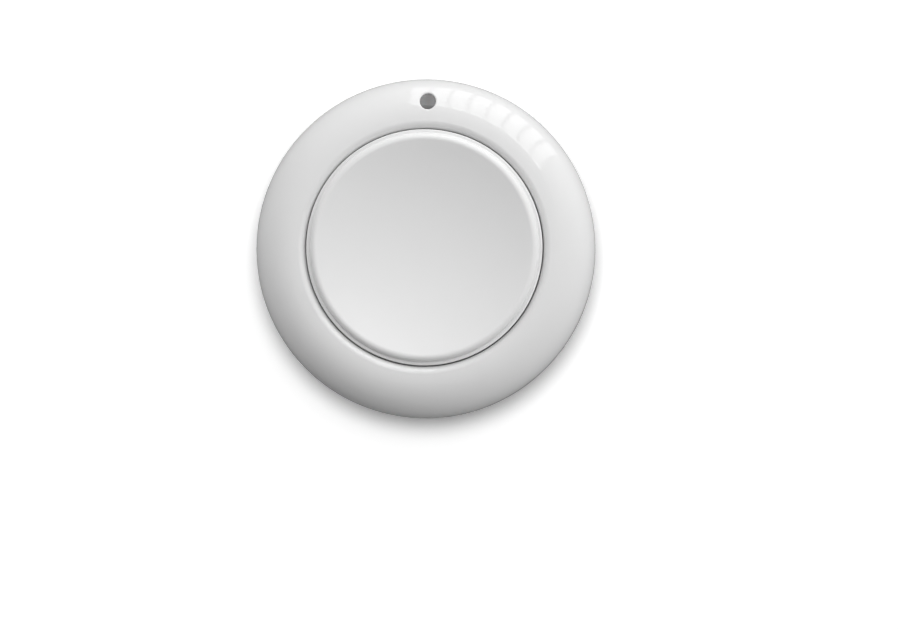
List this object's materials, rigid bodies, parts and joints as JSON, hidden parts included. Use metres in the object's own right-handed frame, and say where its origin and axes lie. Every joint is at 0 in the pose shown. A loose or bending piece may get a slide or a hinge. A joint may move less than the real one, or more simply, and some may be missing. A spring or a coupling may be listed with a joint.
{
  "type": "wireless remote switch",
  "caption": "Round white wireless push switch with a large dished button in a domed bezel, a small grey indicator window and a foam pad on its back.",
  "frame": {"origin": "middle of the foam pad's underside, where the switch meets the wall or table", "axes": "+Z out of the button's face, +Y towards the indicator window"},
  "size_m": [0.045, 0.045, 0.0142],
  "materials": {
    "white_gloss": "polished",
    "white_satin": "satin",
    "smoked_lens": "polished",
    "clear_resin": "clear",
    "grey_foam": "matte",
    "green_board": "satin solder mask",
    "black_plastic": "matte",
    "ivory_ceramic": "matte",
    "tan_ceramic": "matte",
    "nickel_steel": "nickel plated",
    "tin_plate": "tin plated",
    "antenna_gold": "gold plated copper",
    "seal_polymer": "matte",
    "cell_core": "matte"
  },
  "bodies": {
    "housing": {"front_shell": "white_gloss", "rear_shell": "white_satin", "adhesive_pad": "grey_foam", "indicator_lens": "smoked_lens", "circuit_board": "green_board", "loop_antenna": "antenna_gold", "board_screws": "nickel_steel", "battery_cradle": "black_plastic", "positive_contacts": "nickel_steel", "negative_contact": "nickel_steel", "coin_cell_can": "nickel_steel", "coin_cell_gasket": "seal_polymer", "coin_cell_cap": "nickel_steel", "coin_cell_pellet": "cell_core", "switch_base": "black_plastic", "switch_cover": "nickel_steel", "switch_dome": "nickel_steel", "switch_terminals": "tin_plate", "led_base": "ivory_ceramic", "led_lens": "clear_resin", "encoder_chip": "black_plastic", "encoder_leads": "tin_plate", "resonator_base": "ivory_ceramic", "resonator_lid": "nickel_steel", "rf_transistor": "black_plastic", "transistor_leads": "tin_plate", "resistor_bodies": "black_plastic", "capacitor_bodies": "tan_ceramic", "inductor_body": "ivory_ceramic", "chip_end_caps": "tin_plate"},
    "button": {"button_cap": "white_satin"},
    "plunger": {"switch_plunger": "black_plastic"},
    "door": {"battery_door": "white_satin"}
  },
  "joints": [
    {"name": "button_press", "type": "slide", "parent": "housing", "child": "button", "axis": [0, 0, -1], "range_m": [0, 0.0003], "stiffness_N_per_m": 5500},
    {"name": "plunger_press", "type": "slide", "parent": "housing", "child": "plunger", "axis": [0, 0, -1], "range_m": [0, 0.0003], "deforming": ["switch_dome"]},
    {"name": "door_twist", "type": "hinge", "parent": "housing", "child": "door", "pos_m": [0, 0, 0.00095], "axis": [0, 0, -1], "range_deg": [0, 30]}
  ],
  "couplings": [
    {"joint": "plunger_press", "follows": "button_press", "ratio": 1}
  ]
}
